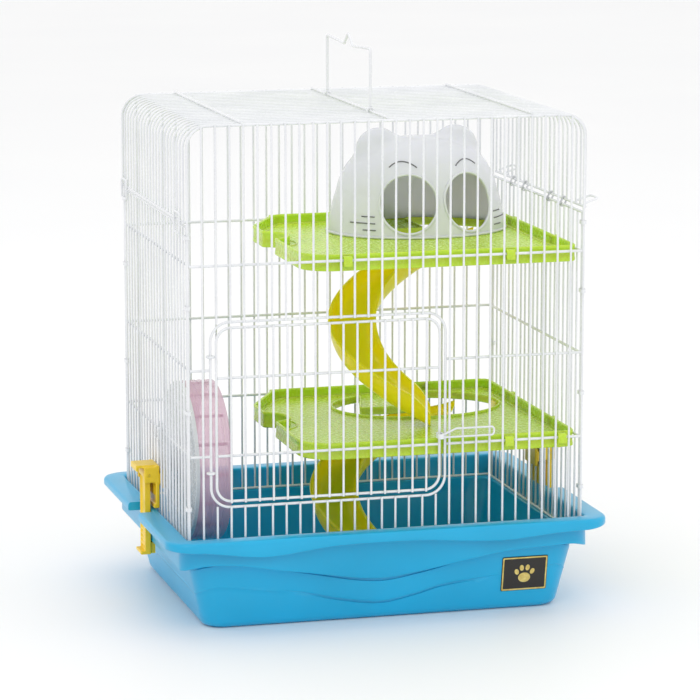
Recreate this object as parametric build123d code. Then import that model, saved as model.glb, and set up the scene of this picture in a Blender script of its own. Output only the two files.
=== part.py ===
from build123d import *
import os
from math import atan2, cos, degrees, hypot, radians, sin, tan

# A two-storey hamster cage: a wire box that stands in a deep plastic tray.
# Millimetres. Origin: centre of the tray's underside. +X right, -Y front (door side), +Z up.

# ---- driving dimensions -------------------------------------------------
BAR = 1.8                    # thin upright bars
FRAME = 2.2                  # borders and cross wires
PITCH = 11.3                 # upright spacing along the front and back
GAPS_X = 29                  # upright gaps along the front
CAGE_DEPTH = 245.3           # front bars to back bars
ROOF_Z = 406.8               # middle of the roof wires
CORNER_R = 17.0              # rounded top corners
SPLIT_Z = 327.5              # top wire of the fixed side panels
LID_Z = 331.5                # lower border wire of the lid
LEVELS = (143.5, 213.1, 296.4)   # cross wires: lower shelf, middle, upper shelf

TRAY_BASE = (149.0, 111.5)   # half length and half depth of each tray outline
TRAY_BODY = (161.0, 121.0)
TRAY_BAND = (171.0, 131.0)
TRAY_RIM = (184.5, 141.0)
RIM_CORNER_R = 20.0
BAND_CORNER_R = 22.0
BODY_CORNER_R = 20.0
FOOT_CORNER_R = 15.0
NOTCH_HALF = 20.0            # gap in the rim for each latch
TRAY_INNER = (166.2, 125.2)
TRAY_WALL = 2.2
BAND_Z = 50.5                # lower edge of the band under the rim
LEDGE_Z = 60.0               # ledge that the wire box stands on
SKIRT_Z = 66.0               # lower edge of the rim skirt
RIM_Z = 78.0                 # top of the rim

DOOR_X = (-141.25, 43.0)     # middle of the door's side wires
DOOR_Z = (106.6, 246.6)      # middle of the door's lower and upper wires
DOOR_GAP = 4.75              # door wire to opening wire, middle to middle
DOOR_BAR_GAPS = 16
DOOR_LEVELS = (143.5, 206.5)
HINGE_EYE_Z = (130.0, 224.0)
LATCH_WIRE = 1.6
DOOR_LATCH_TIP = 88.0
DOOR_LATCH_Z = (149.6, 156.4)
DOOR_LATCH_SHOULDER = 56.0   # where its upper leg slants down to the eye

SHELF_X = (-68.0, 160.2)
SHELF_Y = 118.3
SHELF_WALL = 2.0
SHELF_FLOOR = 2.0
SHELF_DROP = 8.8             # cross wire down to the shelf's lower edge
SHELF_HEIGHT = 13.5
SHELF_FLOOR_Z = 4.0          # floor's underside above the shelf's lower edge
HOLE_HALF = (72.0, 55.5)     # oval opening under the house
TONGUE_FRONT = (22.0, 80.0, 44.5)     # left, right and front edge of the tongue
TONGUE_BACK_LEFT = 42.0
SHELF_CUT = (-36.0, 58.0)    # ends of the cut-back left rear corner: along the back, up the left side
BITE = (-72.0, 2.0, 20.0)    # centre and radius of the bite in the left edge
TAB_WIDTH = 7.0

SLIDE_CENTRE = (88.0, 26.0)
SLIDE_R = (76.0, 62.0)       # half axes of the chute's middle line, seen from above
SLIDE_WIDTH = 38.0
SLIDE_WALL = 1.8
SLIDE_DEPTH = 20.0
SLIDE_START_DEPTH = 6.0      # lower walls where the chute leaves the shelf
SLIDE_RAMP = 0.25            # part of the turn in which the walls reach full height
SLIDE_TURN = (57.0, 250.0)   # degrees, counter-clockwise from above
SLIDE_STATIONS = 15
UPPER_SLIDE = (140.9, 138.0, 0.0)     # foot height, fall, sideways shift
LOWER_SLIDE = (2.4, 124.2, -16.0)
DECK_Y = (44.0, 66.0)

HOUSE_CENTRE = (74.0, 52.0)
HOUSE_TURN = 5.0             # degrees, counter-clockwise from above
HOUSE_WALL = 2.0
HOUSE_RINGS = ((0, 78.0), (15, 75.5), (31, 71.5), (47, 66.0), (62, 57.5), (72, 45.0), (79.5, 26.0))
HOUSE_FLATTEN = 0.79         # depth over width
EAR_X = 35.5
EAR_Z = 70.5
EAR_R = (19.0, 13.0, 17.0)
PORTHOLE_R = 24.0
PORTHOLE_X = 27.5
PORTHOLE_Z = 28.5
PORTHOLE_TURN = 16.0
BROW_X = 28.0
BROW_Z = 58.5                # above the house's foot
WHISKERS = ((18.0, 53.5, 62.0), (12.5, 53.5, 69.0), (7.0, 53.5, 62.0))   # height, near end, far end

WHEEL_Y = -4.0
WHEEL_Z = 116.5
WHEEL_R = 66.0
WHEEL_X = (-145.5, -116.0)   # outer face of the disc, open edge of the track
WHEEL_WALL = 2.2
TREADS = 16
AXLE_R = 3.0
RUNNING_GAP = 0.05

HANDLE_WIRE = 2.4
HANDLE_HEIGHT = 50.0
HANDLE_DIP = 2.5
HANDLE_PEAK = 7.0            # middle of the grip above its shoulders
LATCH_PIVOT = (173.6, 107.0) # distance from the middle plane, height
LATCH_WIDTH = 20.0

HALF_X = PITCH * GAPS_X / 2
HALF_Y = CAGE_DEPTH / 2
CROSS = (BAR + FRAME) / 2    # upright to cross wire, middle to middle
SIDE_GAPS = 21
SIDE_END = HALF_Y - 6.0      # end uprights of the side panels
LID_HALF_X = HALF_X + 2.15
LID_END = 117.0
LID_WIRES = 22
BOTTOM_Z = LEDGE_Z + FRAME / 2
DOOR_LATCH_Y = -HALF_Y - BAR / 2 - 0.3 - LATCH_WIRE / 2


# ---- wire helpers -------------------------------------------------------
def bar(start, end, diameter=BAR):
    a, b = Vector(*start), Vector(*end)
    return Solid.make_cylinder(diameter / 2, (b - a).length, Plane(origin=a, z_dir=b - a))


def bend(start, corner, end, diameter):
    """A quarter-ring of wire that starts along start-corner and leaves along corner-end."""
    a, c, b = Vector(*start), Vector(*corner), Vector(*end)
    tangent_length = (c - a).length
    into = (c - a).normalized()
    out = (b - c).normalized()
    turn = radians(into.get_angle(out))
    radius = tangent_length / tan(turn / 2)
    inward = (out - into).normalized()
    centre = c + inward * (radius / cos(turn / 2))
    middle = centre - inward * radius
    path = Edge.make_three_point_arc(a, middle, b)
    return sweep(Plane(origin=a, z_dir=into) * Circle(diameter / 2), path=path).solids()[0]


def bent_wire(points, radius, diameter, closed=False):
    """Straight and curved lengths of one wire, laid end to end with no overlap."""
    corners = [Vector(*p) for p in points]
    count = len(corners)
    pieces = []
    ends = {}
    for i, corner in enumerate(corners):
        if not closed and i in (0, count - 1):
            ends[i] = (corner, corner)
            continue
        before, after = corners[i - 1], corners[(i + 1) % count]
        into, out = (corner - before).normalized(), (after - corner).normalized()
        reach = radius * tan(radians(into.get_angle(out)) / 2)
        ends[i] = (corner - into * reach, corner + out * reach)
        pieces.append(bend(ends[i][0], corner, ends[i][1], diameter))
    for i in range(count if closed else count - 1):
        pieces.append(bar(ends[i][1], ends[(i + 1) % count][0], diameter))
    return pieces


def box(x, y, z):
    """A block between two limits on each axis."""
    size = (x[1] - x[0], y[1] - y[0], z[1] - z[0])
    middle = ((x[0] + x[1]) / 2, (y[0] + y[1]) / 2, (z[0] + z[1]) / 2)
    return Pos(*middle) * Box(*size)


def upright_x(index):
    return -HALF_X + PITCH * index


def save(name, shapes):
    solids = [solid for shape in shapes for solid in shape.solids()]
    export_step(Compound(children=solids), f"parts/{name}.step")


# ---- tray ---------------------------------------------------------------
def outline(half, radius, z):
    return Plane.XY.offset(z) * RectangleRounded(2 * half[0], 2 * half[1], radius)


def plinth(half, radius, z0, z1):
    return extrude(outline(half, radius, z0), z1 - z0)


def grown(half, amount):
    return (half[0] + amount, half[1] + amount)


def foot(change, z):
    return outline(grown(TRAY_BASE, change), FOOT_CORNER_R, z)


def tray():
    inside = -TRAY_WALL
    knee = 1.5
    body = loft([foot(-5, 0), foot(knee, 6)], ruled=True)
    body += loft([foot(knee, 6), outline(TRAY_BODY, BODY_CORNER_R, BAND_Z)], ruled=True)
    body += plinth(TRAY_BODY, BODY_CORNER_R, BAND_Z, LEDGE_Z)
    body += plinth(TRAY_BAND, BAND_CORNER_R, BAND_Z, SKIRT_Z)
    body += plinth(TRAY_RIM, RIM_CORNER_R, SKIRT_Z, RIM_Z)
    body -= loft([foot(inside - 4, TRAY_WALL), foot(inside + knee, 6 + TRAY_WALL)], ruled=True)
    well = outline(grown(TRAY_BODY, inside), BODY_CORNER_R - TRAY_WALL, BAND_Z)
    body -= loft([foot(inside + knee, 6 + TRAY_WALL), well], ruled=True)
    body -= plinth(grown(TRAY_BODY, inside), BODY_CORNER_R - TRAY_WALL, BAND_Z, RIM_Z)
    body -= plinth(TRAY_INNER, 4, LEDGE_Z, RIM_Z)
    band_hollow = plinth(grown(TRAY_BAND, inside), BAND_CORNER_R - TRAY_WALL, BAND_Z, LEDGE_Z - TRAY_WALL)
    body -= band_hollow - plinth(TRAY_BODY, BODY_CORNER_R, BAND_Z, LEDGE_Z)
    rim_hollow = plinth(grown(TRAY_RIM, inside), RIM_CORNER_R - TRAY_WALL, SKIRT_Z, RIM_Z - TRAY_WALL)
    body -= rim_hollow - plinth(TRAY_BAND, BAND_CORNER_R, SKIRT_Z, RIM_Z)
    for side in (-1, 1):
        slot_x = sorted((side * (TRAY_BAND[0] + 0.4), side * (TRAY_RIM[0] + 1)))
        body -= box(slot_x, (-NOTCH_HALF, NOTCH_HALF), (BAND_Z, RIM_Z + 1))
    return body


def badge_plate():
    """Plain name-plate blank on the sloping front wall."""
    low = TRAY_BASE[1] + 1.5
    rise, run = BAND_Z - 6, TRAY_BODY[1] - low
    height = 31.0
    wall_y = -low - run * (height - 6) / rise
    face = Plane(origin=(117, wall_y, height), x_dir=(1, 0, 0), z_dir=(0, -rise, -run))
    return face * Pos(0, 0, 0.5) * Box(39, 30, 0.8)


# ---- wire panels --------------------------------------------------------
def arch(y):
    """Border of the front and back panels: two sides, rounded shoulders and the top wire."""
    points = [(-HALF_X, y, LEDGE_Z), (-HALF_X, y, ROOF_Z), (HALF_X, y, ROOF_Z), (HALF_X, y, LEDGE_Z)]
    return bent_wire(points, CORNER_R, FRAME)


def back_panel():
    plane = HALF_Y - CROSS
    pieces = arch(plane)
    for z in (BOTTOM_Z,) + LEVELS:
        pieces.append(bar((-HALF_X + FRAME / 2, plane, z), (HALF_X - FRAME / 2, plane, z), FRAME))
    for index in range(1, GAPS_X):
        x = upright_x(index)
        pieces.append(bar((x, HALF_Y, LEDGE_Z), (x, HALF_Y, upright_top(x))))
    return pieces


def upright_top(x):
    """Height where an upright meets the top wire, lower under the rounded shoulders."""
    into_corner = abs(x) - (HALF_X - CORNER_R)
    drop = CORNER_R - (CORNER_R ** 2 - into_corner ** 2) ** 0.5 if into_corner > 0 else 0
    return ROOF_Z + FRAME / 2 - drop


def door_opening():
    return ((DOOR_X[0] - DOOR_GAP, DOOR_X[1] + DOOR_GAP), (DOOR_Z[0] - DOOR_GAP, DOOR_Z[1] + DOOR_GAP))


def opening_points(x, z, y):
    return [(x[0], y, z[0]), (x[1], y, z[0]), (x[1], y, z[1]), (x[0], y, z[1])]


def front_panel():
    plane = -HALF_Y + CROSS
    (left, right), (low, high) = door_opening()
    pieces = arch(plane) + bent_wire(opening_points((left, right), (low, high), plane), 16, FRAME, True)
    for z in (BOTTOM_Z, LEVELS[2]):
        pieces.append(bar((-HALF_X + FRAME / 2, plane, z), (HALF_X - FRAME / 2, plane, z), FRAME))
    for z in LEVELS[:2]:
        pieces.append(bar((-HALF_X + FRAME / 2, plane, z), (left - FRAME / 2, plane, z), FRAME))
        pieces.append(bar((right + FRAME / 2, plane, z), (HALF_X - FRAME / 2, plane, z), FRAME))
    for index in range(1, GAPS_X):
        x = upright_x(index)
        top = upright_top(x)
        if left + 1 < x < right - 1:
            pieces.append(bar((x, -HALF_Y, LEDGE_Z), (x, -HALF_Y, low + FRAME / 2)))
            pieces.append(bar((x, -HALF_Y, high - FRAME / 2), (x, -HALF_Y, top)))
        else:
            pieces.append(bar((x, -HALF_Y, LEDGE_Z), (x, -HALF_Y, top)))
    return pieces


def side_panel(side):
    x = side * HALF_X
    inner = side * (HALF_X - CROSS)
    reach = SIDE_END + BAR / 2
    pieces = [bar((x, -reach, SPLIT_Z), (x, reach, SPLIT_Z), FRAME)]
    for z in (BOTTOM_Z,) + LEVELS:
        pieces.append(bar((inner, -reach, z), (inner, reach, z), FRAME))
    for index in range(SIDE_GAPS + 1):
        y = -SIDE_END + 2 * SIDE_END * index / SIDE_GAPS
        pieces.append(bar((x, y, LEDGE_Z), (x, y, SPLIT_Z - FRAME / 2)))
    return pieces


def corner_clips():
    """Folded strip rings that tie each side panel to the front and back borders."""
    pieces = []
    apart = HALF_Y - CROSS - SIDE_END
    strip = 0.8
    for sx in (-1, 1):
        for sy in (-1, 1):
            for z in (100.0, 178.0, 262.0, 318.0):
                middle = sy * (SIDE_END + apart / 2)
                room = apart + FRAME + 0.6
                ring = SlotOverall(room + 2 * strip, FRAME + 0.6 + 2 * strip) - SlotOverall(room, FRAME + 0.6)
                pieces.append(Pos(sx * HALF_X, middle, z) * Rot(0, 0, 90) * extrude(ring, 3.0))
    return pieces


# ---- lid and handle -----------------------------------------------------
def lid_y(index):
    return -LID_END + 2 * LID_END * index / (LID_WIRES - 1)


def lid():
    pieces = []
    foot = LID_Z + FRAME / 2
    for index in range(LID_WIRES):
        y = lid_y(index)
        points = [(-LID_HALF_X, y, foot), (-LID_HALF_X, y, ROOF_Z)]
        points += [(LID_HALF_X, y, ROOF_Z), (LID_HALF_X, y, foot)]
        pieces += bent_wire(points, CORNER_R, BAR)
    reach = LID_END + BAR / 2
    for x in (-LID_HALF_X, LID_HALF_X):
        pieces.append(bar((x, -reach, LID_Z), (x, reach, LID_Z), FRAME))
    for x in (-120.0, 0.0, 120.0):
        pieces.append(bar((x, -reach, ROOF_Z + CROSS), (x, reach, ROOF_Z + CROSS), FRAME))
    return pieces


def lid_hinge_rings():
    """Strip rings round the lid's right border and the right panel's top wire."""
    apart = hypot(LID_HALF_X - HALF_X, LID_Z - SPLIT_Z)
    tilt = degrees(atan2(LID_Z - SPLIT_Z, LID_HALF_X - HALF_X))
    room = FRAME + 0.7
    ring = SlotOverall(apart + room + 2, room + 2) - SlotOverall(apart + room, room)
    pieces = []
    for gap_index in (4, 7, 13, 16):
        y = -SIDE_END + 2 * SIDE_END * (gap_index + 0.5) / SIDE_GAPS
        centre = ((HALF_X + LID_HALF_X) / 2, y + 1, (LID_Z + SPLIT_Z) / 2)
        plane = Plane(origin=centre, x_dir=(cos(radians(tilt)), 0, sin(radians(tilt))), z_dir=(0, -1, 0))
        pieces.append(plane * extrude(ring, 2.0))
    return pieces


def lid_loops():
    """Finger loops of wire at the lid's four lower corners."""
    pieces = []
    for sy in (-1, 1):
        near, far = sy * 93.0, sy * 112.0
        x = -LID_HALF_X - FRAME / 2 - BAR / 2
        hanging = [(x, near, 322), (x, far, 322), (x, far, 338), (x, near, 338)]
        pieces += bent_wire(hanging, 3.0, BAR, True)
        z = LID_Z + FRAME / 2 + BAR / 2
        x = LID_HALF_X + BAR / 2
        level = [(x, near, z), (x + 12, near, z + 4), (x + 12, far, z + 4), (x, far, z)]
        pieces += bent_wire(level, 3.0, BAR)
    return pieces


def carry_handle():
    """Wire bail that turns on the roof's middle stiffener."""
    axis_z = ROOF_Z + CROSS
    eye_r = FRAME / 2 + 0.4 + HANDLE_WIRE / 2
    foot_y = 2 * LID_END * 6 / (LID_WIRES - 1)
    top = axis_z + HANDLE_HEIGHT
    start = axis_z + eye_r + HANDLE_WIRE / 2
    low, peak = top - HANDLE_DIP, top + HANDLE_PEAK
    points = [(0, -foot_y, start), (0, -foot_y, top), (0, -13, low), (0, 0, peak)]
    points += [(0, 13, low), (0, foot_y, top), (0, foot_y, start)]
    pieces = bent_wire(points, 3.0, HANDLE_WIRE)
    for y in (-foot_y, foot_y):
        ring = Solid.make_torus(eye_r, HANDLE_WIRE / 2, Plane(origin=(0, y, axis_z), z_dir=(0, 1, 0)))
        pieces.append(ring)
    return pieces


# ---- door ---------------------------------------------------------------
def door():
    plane = -HALF_Y + CROSS
    pieces = bent_wire(opening_points(DOOR_X, DOOR_Z, plane), 12, FRAME, True)
    for z in DOOR_LEVELS:
        pieces.append(bar((DOOR_X[0] + FRAME / 2, plane, z), (DOOR_X[1] - FRAME / 2, plane, z), FRAME))
    step = (DOOR_X[1] - DOOR_X[0]) / DOOR_BAR_GAPS
    for index in range(1, DOOR_BAR_GAPS):
        x = DOOR_X[0] + step * index
        pieces.append(bar((x, -HALF_Y, DOOR_Z[0] - FRAME / 2), (x, -HALF_Y, DOOR_Z[1] + FRAME / 2)))
    eye_wire = 2.0
    eye_r = DOOR_GAP - FRAME / 2 - eye_wire / 2
    for z in HINGE_EYE_Z:
        pieces.append(Solid.make_torus(eye_r, eye_wire / 2, Plane(origin=(DOOR_X[0] - DOOR_GAP, plane, z))))
    return pieces


def door_latch():
    """Wire hasp that swings on the door's right side wire and lies across the panel."""
    y = DOOR_LATCH_Y
    low, high = DOOR_LATCH_Z
    room, strip, stretch = FRAME + 0.7, 1.2, 4.85
    start = DOOR_X[1] + room / 2 + strip
    points = [(start, y, low), (DOOR_LATCH_TIP, y, low), (DOOR_LATCH_TIP, y, high)]
    points += [(DOOR_LATCH_SHOULDER, y, high), (start, y, low + 2.4)]
    pieces = bent_wire(points, 2.5, LATCH_WIRE)
    outer = room + 2 * strip
    eye = SlotOverall(stretch + outer, outer) - SlotOverall(stretch + room, room)
    place = Pos(DOOR_X[1], -HALF_Y + CROSS - stretch / 2, low - LATCH_WIRE / 2) * Rot(0, 0, 90)
    pieces.append(place * extrude(eye, 4.0))
    return pieces


# ---- tray latches -------------------------------------------------------
def latch_clip(side):
    """Clip that grips the side bars, with a hood over the two ears that hold the lever's pin."""
    x, z = LATCH_PIVOT
    outer = HALF_X + BAR / 2 + 0.2
    half = LATCH_WIDTH / 2
    block = box((outer, outer + 3), (-half - 4, half + 4), (RIM_Z + 1.5, z + 8))
    block += box((outer, x + 10.4), (-half - 1, half + 1), (z + 6, z + 8.4))
    for y in (-1, 1):
        block += box((outer, x + 4), sorted((y * (half + 1), y * (half + 4))), (z - 6, z + 7))
    step = 2 * SIDE_END / SIDE_GAPS
    for y in (0, step, -step):
        block += box((HALF_X - 3.6, outer), (y - 2.5, y + 2.5), (z - 7, z + 1))
    block += box((HALF_X - 3.6, HALF_X - BAR / 2 - 0.3), (-14, 14), (z - 11, z + 4))
    block -= pin_bore(0)
    return mirrored(block, side)


def pin_bore(extra):
    x, z = LATCH_PIVOT
    return Pos(x, 0, z) * Rot(90, 0, 0) * Cylinder(1.5 + extra, LATCH_WIDTH + 12)


def latch_pin(side):
    x, z = LATCH_PIVOT
    return mirrored(Pos(x, 0, z) * Rot(90, 0, 0) * Cylinder(1.5, LATCH_WIDTH + 8), side)


def latch_lever(side):
    """Lever that hangs from its pin, with a hook under the tray's band and a thumb lip."""
    x, z = LATCH_PIVOT
    half = LATCH_WIDTH / 2
    strap_x = (TRAY_BAND[0] + 0.9, TRAY_BAND[0] + 4.4)
    foot = BAND_Z - 10.5
    lever = Pos(x, 0, z) * Rot(90, 0, 0) * Cylinder(4.0, LATCH_WIDTH)
    lever += box(strap_x, (-half, half), (foot, z))
    lever += box((TRAY_BODY[0] + 6.4, strap_x[1]), (-half + 3, half - 3), (foot, BAND_Z - 0.9))
    lever += box((strap_x[0], strap_x[1] + 5), (-half, half), (foot, foot + 2.5))
    lever -= pin_bore(RUNNING_GAP)
    return mirrored(lever, side)


def mirrored(shape, side):
    return shape if side > 0 else mirror(shape, about=Plane.YZ)


# ---- shelves ------------------------------------------------------------
def shelf_outline(inset, z, height):
    """Shelf seen from above: a cut-back left rear corner and a bite in the left edge."""
    x0, x1 = SHELF_X[0] + inset, SHELF_X[1] - inset
    y0, y1 = -SHELF_Y + inset, SHELF_Y - inset
    corners = [(x0, y0), (x1, y0), (x1, y1)]
    corners += [(SHELF_CUT[0] + inset * 0.6, y1), (x0, SHELF_CUT[1] - inset * 0.6)]
    face = make_face(Polyline(*corners, close=True))
    face = fillet(face.vertices().filter_by(lambda v: v.X < 0 < v.Y), 16 - inset)
    face = fillet(face.vertices().filter_by(lambda v: v.X < 0 and v.Y < 0), 26 - inset)
    face = fillet(face.vertices().filter_by(lambda v: v.X > x1 - 1), 8 - inset)
    bite = Pos(BITE[0], BITE[1]) * Circle(BITE[2] + inset)
    return Pos(0, 0, z) * extrude(face - bite, height)


def hole_outline(grow, z, height):
    """Oval opening round the slide, less the tongue that reaches in from the back."""
    oval = Pos(*HOUSE_CENTRE) * Ellipse(HOLE_HALF[0] + grow, HOLE_HALF[1] + grow)
    left, right, front = TONGUE_FRONT
    corners = [(left + grow, front + grow), (right - grow, front + grow), (right - grow, SHELF_Y)]
    corners.append((TONGUE_BACK_LEFT + grow, SHELF_Y))
    tongue = make_face(Polyline(*corners, close=True))
    return Pos(0, 0, z) * extrude(oval - tongue, height)


def shelf_tab(x, y, turn, z):
    """Hook over a cross wire, turned to face out of the cage."""
    wire_z = SHELF_DROP + FRAME / 2 + 0.15
    width = (-TAB_WIDTH / 2, TAB_WIDTH / 2)
    hook = box(width, (-SHELF_WALL, 5.6), (wire_z, wire_z + 2.2))
    hook += box(width, (3.9, 5.6), (wire_z - 6, wire_z + 2.2))
    hook += box(width, (-SHELF_WALL, 0), (SHELF_HEIGHT - 4, wire_z + 2.2))
    return Pos(x, y, z) * Rot(0, 0, turn) * hook


def shelf(level, front_gaps):
    z = level - SHELF_DROP
    body = shelf_outline(0, z, SHELF_HEIGHT)
    top = z + SHELF_FLOOR_Z + SHELF_FLOOR
    body -= shelf_outline(SHELF_WALL, top, SHELF_HEIGHT)
    body -= shelf_outline(SHELF_WALL, z, SHELF_FLOOR_Z)
    body += hole_outline(SHELF_WALL, z + 1, SHELF_FLOOR_Z + SHELF_FLOOR + 1)
    body -= hole_outline(0, z, SHELF_HEIGHT)
    for gap in front_gaps:
        body += shelf_tab(upright_x(gap + 0.5), -SHELF_Y, 180, z)
    for gap in (11, 23):
        body += shelf_tab(upright_x(gap + 0.5), SHELF_Y, 0, z)
    for gap in (5, 15):
        y = -SIDE_END + 2 * SIDE_END * (gap + 0.5) / SIDE_GAPS
        body += shelf_tab(SHELF_X[1], y, -90, z)
    return body


# ---- slides -------------------------------------------------------------
def slide_section(angle, z, shift, depth):
    """U-shaped section of the chute, standing upright across its middle line."""
    t = radians(angle)
    place = Vector(SLIDE_CENTRE[0] + shift + SLIDE_R[0] * cos(t), SLIDE_CENTRE[1] + SLIDE_R[1] * sin(t), z)
    along = Vector(-SLIDE_R[0] * sin(t), SLIDE_R[1] * cos(t), 0).normalized()
    half, wall, low = SLIDE_WIDTH / 2, SLIDE_WALL, 0.4 * depth
    right = [(half, depth), (half, low), (half - low, 0)]
    right_inner = [(half - low - 0.4 * wall, wall), (half - wall, low + 0.4 * wall), (half - wall, depth)]
    left = [(-x, y) for x, y in reversed(right)]
    left_inner = [(-x, y) for x, y in reversed(right_inner)]
    plane = Plane(origin=place, x_dir=along.cross(Vector(0, 0, 1)), z_dir=-along)
    return plane * make_face(Polyline(*right, *left, *left_inner, *right_inner, close=True))


def slide(foot_z, fall, shift, shelf_z):
    sections = []
    for index in range(SLIDE_STATIONS):
        part = index / (SLIDE_STATIONS - 1)
        angle = SLIDE_TURN[0] + part * (SLIDE_TURN[1] - SLIDE_TURN[0])
        depth = SLIDE_START_DEPTH + (SLIDE_DEPTH - SLIDE_START_DEPTH) * min(1, part / SLIDE_RAMP)
        sections.append(slide_section(angle, foot_z + fall * (1 - part), shift, depth))
    chute = loft(sections, ruled=True)
    deck_z = foot_z + fall
    edge = HOUSE_CENTRE[0] + HOLE_HALF[0] - 0.8
    start = SLIDE_CENTRE[0] + shift + 30
    deck = box((start, edge), DECK_Y, (deck_z, deck_z + SLIDE_WALL))
    middle = HOUSE_CENTRE[1]
    return chute + deck + box((edge - SLIDE_WALL, edge), (middle - 6, middle + 6), (deck_z, shelf_z))


# ---- house --------------------------------------------------------------
def dome(shrink, base_z):
    rings = []
    for z, half in HOUSE_RINGS:
        lift = -shrink if z else 0
        ring = Ellipse(half - shrink, half * HOUSE_FLATTEN - shrink)
        rings.append(Pos(0, 0, z + lift) * ring)
    body = loft(rings)
    for side in (-1, 1):
        size = [r - shrink for r in EAR_R]
        ear = scale(Sphere(1), by=tuple(size))
        body += Pos(side * EAR_X, 0, EAR_Z) * Rot(0, side * 12, 0) * ear
    return Pos(HOUSE_CENTRE[0], HOUSE_CENTRE[1], base_z) * Rot(0, 0, HOUSE_TURN) * body


def floor_top(level):
    return level - SHELF_DROP + SHELF_FLOOR_Z + SHELF_FLOOR


def house_base_z():
    return floor_top(LEVELS[2])


def porthole(side):
    front = -HOUSE_FLATTEN * HOUSE_RINGS[1][1]
    hole = Pos(side * PORTHOLE_X, front + 6, 0) * Rot(90, side * PORTHOLE_TURN, 0) * Cylinder(PORTHOLE_R, 36)
    return Pos(*HOUSE_CENTRE, house_base_z() + PORTHOLE_Z) * Rot(0, 0, HOUSE_TURN) * hole


def house():
    shell = dome(0, house_base_z()) - dome(HOUSE_WALL, house_base_z())
    for side in (-1, 1):
        shell -= porthole(side)
    return shell


def house_trim():
    """Thin raised brows over the portholes and whiskers on the cheeks."""
    base = house_base_z()
    marks = []
    for side in (-1, 1):
        marks.append(extrude(Pos(side * BROW_X, base + BROW_Z) * brow_face(), 80))
        for rise, near, far in WHISKERS:
            line = Pos(side * (near + far) / 2, base + rise) * Rectangle(far - near, 1.1)
            marks.append(extrude(line, 80))
    skin = dome(-0.6, base) - dome(0, base)
    place = Pos(HOUSE_CENTRE[0], HOUSE_CENTRE[1], 0) * Rot(0, 0, HOUSE_TURN) * Rot(90, 0, 0)
    return [(place * mark) & skin for mark in marks]


def brow_face():
    width, thick = 20.0, 1.2
    outer = ThreePointArc((-width / 2, 0), (0, 5), (width / 2, 0))
    inner = ThreePointArc((width / 2, -thick), (0, 5 - thick), (-width / 2, -thick))
    return make_face([outer, Line(outer @ 1, inner @ 0), inner, Line(inner @ 1, outer @ 0)])


# ---- wheel --------------------------------------------------------------
def on_axle(x, shape):
    """Place a shape that was drawn round +Z on the wheel's axle, starting at x."""
    return Plane(origin=(x, WHEEL_Y, WHEEL_Z), z_dir=(1, 0, 0)) * shape


def pillar(radius, length):
    return extrude(Circle(radius), length)


def tube(outer, inner, length):
    return extrude(Circle(outer) - Circle(inner), length)


def wheel_disc():
    bore = AXLE_R + RUNNING_GAP
    disc = on_axle(WHEEL_X[0], tube(WHEEL_R, bore, WHEEL_WALL))
    disc += on_axle(WHEEL_X[0] - 8, tube(8, bore, 8))
    disc += on_axle(WHEEL_X[0] - 2, tube(30, 8, 2))
    return disc


def wheel_track():
    length = WHEEL_X[1] - WHEEL_X[0] - WHEEL_WALL
    track = on_axle(WHEEL_X[0] + WHEEL_WALL, tube(WHEEL_R, WHEEL_R - WHEEL_WALL, length))
    track += on_axle(WHEEL_X[1] - 2.5, tube(WHEEL_R, WHEEL_R - WHEEL_WALL - 3, 2.5))
    return track


def wheel_treads():
    pieces = []
    radius = WHEEL_R - WHEEL_WALL
    start, length = WHEEL_X[0] + WHEEL_WALL + 1, WHEEL_X[1] - WHEEL_X[0] - WHEEL_WALL - 5
    ring = tube(radius, radius - 1.6, length)
    for index in range(TREADS):
        wedge = Rot(0, 0, 360 * index / TREADS) * Pos(radius, 0, length / 2) * Box(8, 2.4, length)
        pieces.append(on_axle(start, ring & wedge))
    return pieces


def bracket_x():
    return -HALF_X + CROSS + FRAME / 2 + 0.85


def wheel_bracket():
    """Plate that hangs on the left panel's lower cross wire and holds the axle."""
    inner = bracket_x()
    wire_top = LEVELS[0] + FRAME / 2 + 0.15
    plate = box((inner, inner + 3), (WHEEL_Y - 20, WHEEL_Y + 20), (WHEEL_Z - 20, wire_top + 2))
    step = 2 * SIDE_END / SIDE_GAPS
    for index in (-1, 0):
        y = step * index
        hook_y = (y - 3, y + 3)
        plate += box((-HALF_X - 1.8, inner + 3), hook_y, (wire_top, wire_top + 2))
        plate += box((-HALF_X - 1.8, -HALF_X + 0.2), hook_y, (wire_top - 8, wire_top + 2))
    plate += on_axle(inner, pillar(7, 5))
    return plate - on_axle(inner - 1, pillar(AXLE_R, 12))


def wheel_axle():
    start = bracket_x()
    return on_axle(start, pillar(AXLE_R, WHEEL_X[0] + 5.2 - start))


def wheel_cap():
    cap = tube(7, AXLE_R, 2.4)
    return on_axle(WHEEL_X[0] + WHEEL_WALL + 0.3, cap)


# ---- write every piece --------------------------------------------------
os.makedirs("parts", exist_ok=True)
save("tray", [tray()])
save("badge_plate", [badge_plate()])
save("front_panel", front_panel())
save("back_panel", back_panel())
save("left_panel", side_panel(-1))
save("right_panel", side_panel(1))
save("corner_clips", corner_clips())
save("lid", lid())
save("lid_hinge_rings", lid_hinge_rings())
save("lid_loops", lid_loops())
save("carry_handle", carry_handle())
save("front_door", door())
save("door_latch", door_latch())
for word, sign in (("left", -1), ("right", 1)):
    save(f"latch_clip_{word}", [latch_clip(sign)])
    save(f"latch_pin_{word}", [latch_pin(sign)])
    save(f"latch_lever_{word}", [latch_lever(sign)])
save("lower_shelf", [shelf(LEVELS[0], (23, 27))])
save("upper_shelf", [shelf(LEVELS[2], (11, 23))])
save("lower_slide", [slide(*LOWER_SLIDE, floor_top(LEVELS[0]))])
save("upper_slide", [slide(*UPPER_SLIDE, floor_top(LEVELS[2]))])
save("house", [house()])
save("house_trim", house_trim())
save("wheel_disc", [wheel_disc()])
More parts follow.
